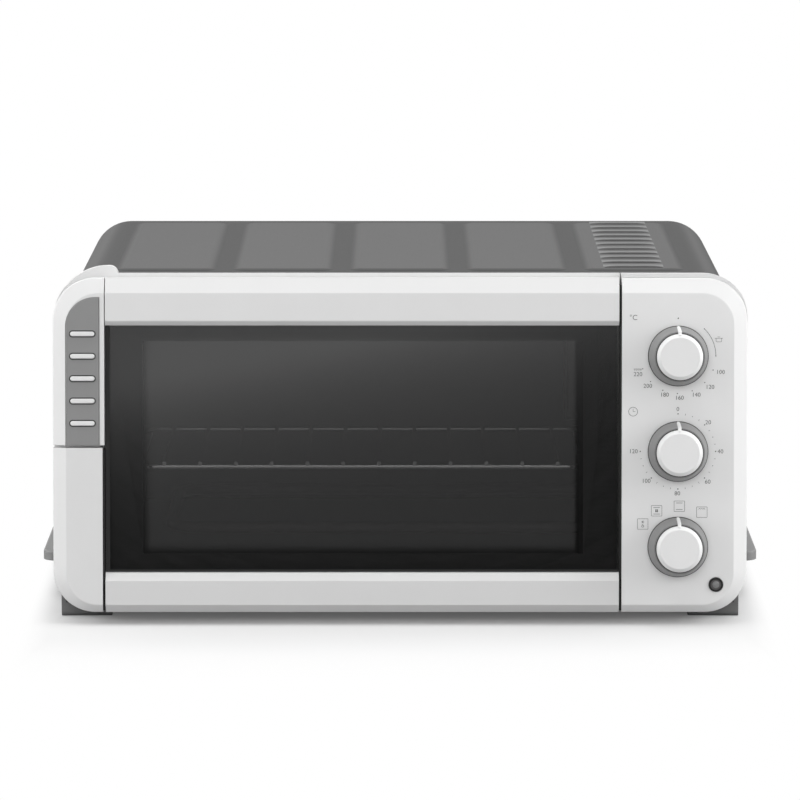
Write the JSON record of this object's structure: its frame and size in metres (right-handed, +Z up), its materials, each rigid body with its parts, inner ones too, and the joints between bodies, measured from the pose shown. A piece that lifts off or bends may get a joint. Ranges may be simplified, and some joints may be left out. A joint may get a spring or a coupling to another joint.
{
  "type": "mini oven",
  "caption": "Countertop oven with a bottom-hinged glass door, corner handle, rotary controls, wire rack, convection fan and pressed steel cover.",
  "frame": {"origin": "on the table under the middle of the oven's overall box", "axes": "+X to the right seen from the front, the door faces -Y, +Z up"},
  "size_m": [0.435, 0.3455, 0.2096],
  "materials": {
    "white_plastic": "satin white moulding",
    "panel_plastic": "pale satin moulding",
    "grey_plastic": "mid grey soft-touch",
    "knob_grey": "satin grey",
    "knob_light": "pale silver satin",
    "foot_plastic": "dark grey",
    "cover_paint": "fine textured grey paint",
    "black_glass": "tempered, dark tint with a black border",
    "door_steel": "black enamel",
    "liner_enamel": "dark grey enamel",
    "zinc_steel": "zinc plated",
    "rack_chrome": "chromed wire",
    "heater_sheath": "dull steel sheath",
    "ceramic": "glazed ceramic",
    "fan_steel": "pressed sheet",
    "black_plastic": "black",
    "lens": "smoked lens"
  },
  "bodies": {
    "root": {"front_frame": "white_plastic", "left_pillar": "white_plastic", "control_panel": "panel_plastic", "left_hinge_bush": "black_plastic", "right_hinge_bush": "black_plastic", "top_cover": "cover_paint", "back_panel": "zinc_steel", "bottom_plate": "zinc_steel", "cavity_liner": "liner_enamel", "left_rack_guide": "liner_enamel", "right_rack_guide": "liner_enamel", "upper_heater": "heater_sheath", "lower_heater": "heater_sheath", "heater_ferrules": "ceramic", "fan_motor": "zinc_steel", "motor_bracket": "zinc_steel", "fan_cover": "zinc_steel", "thermostat_bulb": "zinc_steel", "control_bracket": "zinc_steel", "function_switch": "black_plastic", "timer_body": "zinc_steel", "thermostat_body": "ceramic", "lamp_lens": "lens", "lamp_body": "black_plastic", "front_left_foot": "foot_plastic", "front_right_foot": "foot_plastic", "rear_left_foot": "foot_plastic", "rear_right_foot": "foot_plastic", "left_grip": "foot_plastic", "right_grip": "foot_plastic", "terminal_block": "black_plastic", "cable_gland": "black_plastic", "back_screws": "zinc_steel", "foot_screws": "zinc_steel"},
    "door": {"door_top_rail": "white_plastic", "door_bottom_rail": "white_plastic", "handle_shell": "white_plastic", "handle_insert": "grey_plastic", "handle_ribs": "panel_plastic", "door_glass": "black_glass", "door_inner_frame": "door_steel", "door_screws": "zinc_steel", "left_hinge_pin": "zinc_steel", "right_hinge_pin": "zinc_steel"},
    "rack": {"wire_rack": "rack_chrome"},
    "fan": {"fan_blade": "fan_steel", "fan_shaft": "zinc_steel"},
    "function_knob": {"function_knob_skirt": "knob_grey", "function_knob_cap": "knob_light", "function_spindle": "zinc_steel"},
    "timer_knob": {"timer_knob_skirt": "knob_grey", "timer_knob_cap": "knob_light", "timer_spindle": "zinc_steel"},
    "thermostat_knob": {"thermostat_knob_skirt": "knob_grey", "thermostat_knob_cap": "knob_light", "thermostat_spindle": "zinc_steel"}
  },
  "joints": [
    {"name": "door_hinge", "type": "hinge", "parent": "root", "child": "door", "pos_m": [0, -0.14126, 0.0158], "axis": [1, 0, 0], "range_deg": [0, 90]},
    {"name": "rack_slide", "type": "slide", "parent": "root", "child": "rack", "axis": [0, -1, 0], "range_m": [0, 0.075]},
    {"name": "fan_spin", "type": "hinge", "parent": "root", "child": "fan", "pos_m": [0.1183, 0.01186, 0.13282], "axis": [1, 0, 0], "continuous": true},
    {"name": "function_turn", "type": "hinge", "parent": "root", "child": "function_knob", "pos_m": [0.164, -0.14907, 0.04679], "axis": [0, 0.9945, -0.1045], "range_deg": [-60, 30]},
    {"name": "timer_turn", "type": "hinge", "parent": "root", "child": "timer_knob", "pos_m": [0.164, -0.14317, 0.10288], "axis": [0, 0.9945, -0.1045], "range_deg": [0, 270]},
    {"name": "thermostat_turn", "type": "hinge", "parent": "root", "child": "thermostat_knob", "pos_m": [0.164, -0.13728, 0.15897], "axis": [0, 0.9945, -0.1045], "range_deg": [0, 250]}
  ],
  "couplings": [
    {"joint": "rack_slide", "follows": "door_hinge", "m_per_rad": 0.047746}
  ]
}
